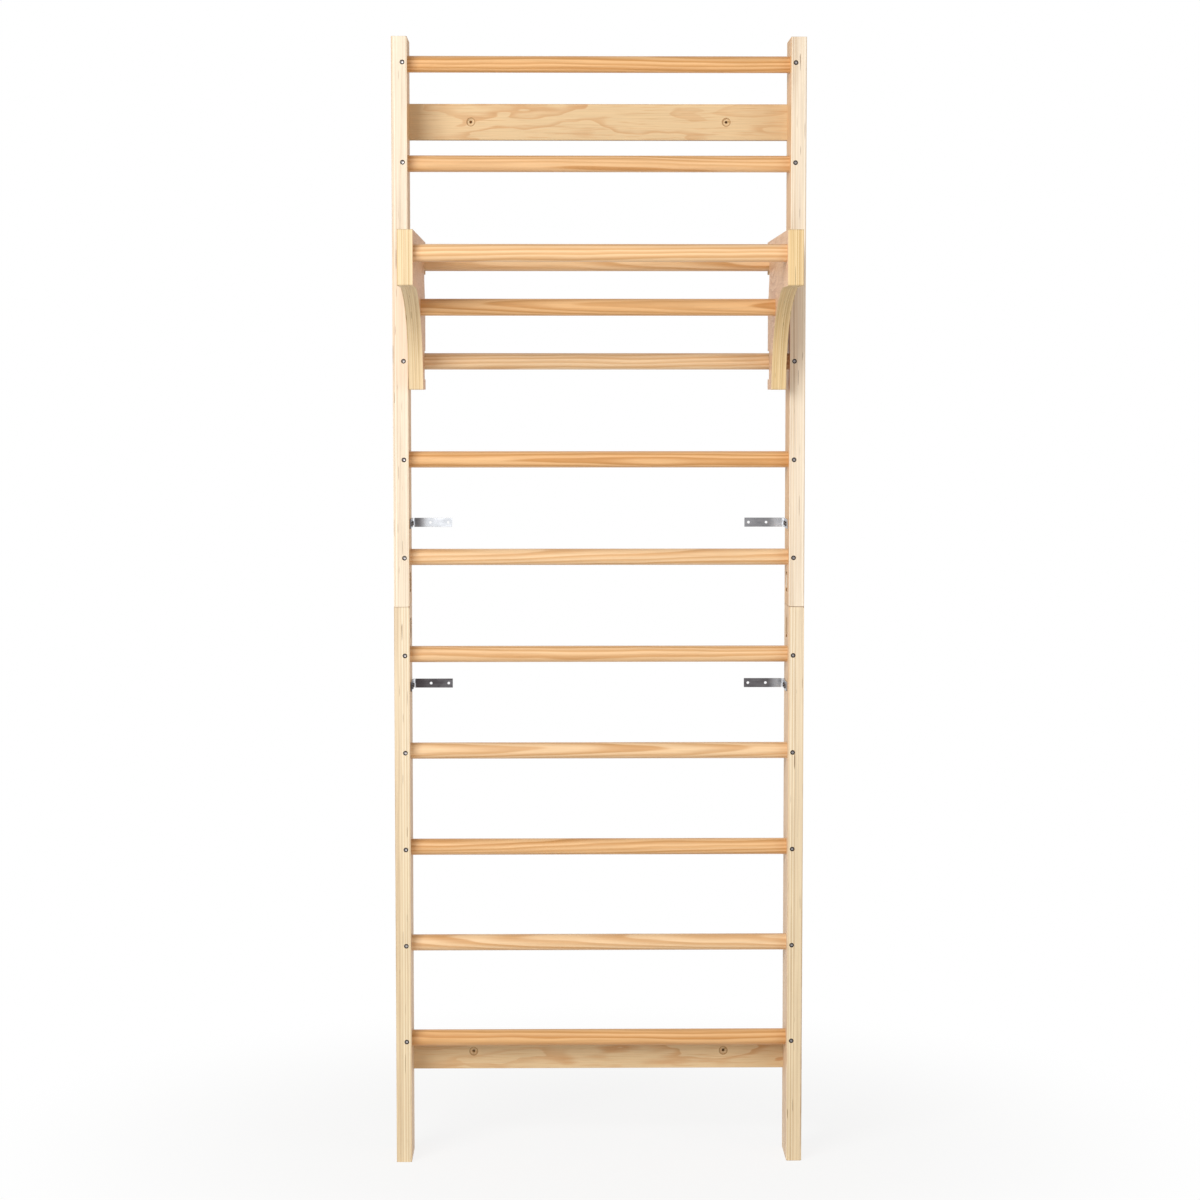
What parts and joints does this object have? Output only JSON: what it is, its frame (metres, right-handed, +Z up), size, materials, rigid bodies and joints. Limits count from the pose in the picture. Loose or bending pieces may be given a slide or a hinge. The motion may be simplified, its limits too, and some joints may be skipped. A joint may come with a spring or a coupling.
{
  "type": "swedish wall bars",
  "caption": "Wall-mounted wooden gymnastics ladder with round rungs between two plywood uprights, wall rails, steel wall angles and a hook-on pull-up bar unit.",
  "frame": {"origin": "on the floor, at the wall plane, midway between the uprights", "axes": "+Z up along the uprights, +X to the viewer's right, +Y into the wall, so the front faces -Y"},
  "size_m": [0.8, 0.55, 2.2],
  "materials": {
    "upright_plywood": "pale plywood with a thin clear lacquer, plies showing on the edges",
    "unit_plywood": "warm plywood with a thin clear lacquer, plies showing on the edges",
    "rail_plywood": "rotary-cut plywood face with a thin clear lacquer",
    "pine": "turned pine with a satin clear lacquer",
    "zinc": "bright zinc plate",
    "steel": "nickel-plated screw steel"
  },
  "bodies": {
    "frame": {"upright_upper_left": "upright_plywood", "upright_upper_right": "upright_plywood", "upright_lower_left": "upright_plywood", "upright_lower_right": "upright_plywood", "rung_01": "pine", "rung_02": "pine", "rung_03": "pine", "rung_04": "pine", "rung_05": "pine", "rung_06": "pine", "rung_07": "pine", "rung_08": "pine", "rung_09": "pine", "rung_10": "pine", "rung_11": "pine", "rung_screw_left_01": "steel", "rung_screw_left_02": "steel", "rung_screw_left_03": "steel", "rung_screw_left_04": "steel", "rung_screw_left_05": "steel", "rung_screw_left_06": "steel", "rung_screw_left_07": "steel", "rung_screw_left_08": "steel", "rung_screw_left_09": "steel", "rung_screw_left_10": "steel", "rung_screw_left_11": "steel", "rung_screw_right_01": "steel", "rung_screw_right_02": "steel", "rung_screw_right_03": "steel", "rung_screw_right_04": "steel", "rung_screw_right_05": "steel", "rung_screw_right_06": "steel", "rung_screw_right_07": "steel", "rung_screw_right_08": "steel", "rung_screw_right_09": "steel", "rung_screw_right_10": "steel", "rung_screw_right_11": "steel", "rail_upper": "rail_plywood", "rail_lower": "rail_plywood", "angle_upper_left": "zinc", "angle_upper_right": "zinc", "angle_lower_left": "zinc", "angle_lower_right": "zinc", "angle_screw_upper_left_back": "steel", "angle_screw_upper_left_front": "steel", "angle_screw_upper_right_back": "steel", "angle_screw_upper_right_front": "steel", "angle_screw_lower_left_back": "steel", "angle_screw_lower_left_front": "steel", "angle_screw_lower_right_back": "steel", "angle_screw_lower_right_front": "steel", "tie_bolt_left": "steel", "tie_bolt_right": "steel", "tie_nut_left": "steel", "tie_nut_right": "steel"},
    "pull_up_unit": {"pull_up_plate_left": "unit_plywood", "pull_up_plate_right": "unit_plywood", "pull_up_grip_bar": "pine", "pull_up_brace_bar": "pine"}
  },
  "joints": [
    {"name": "pull_up_unit_swing", "type": "hinge", "parent": "frame", "child": "pull_up_unit", "pos_m": [0, -0.07, 1.7685], "axis": [-1, 0, 0], "range_deg": [0, 60]}
  ]
}
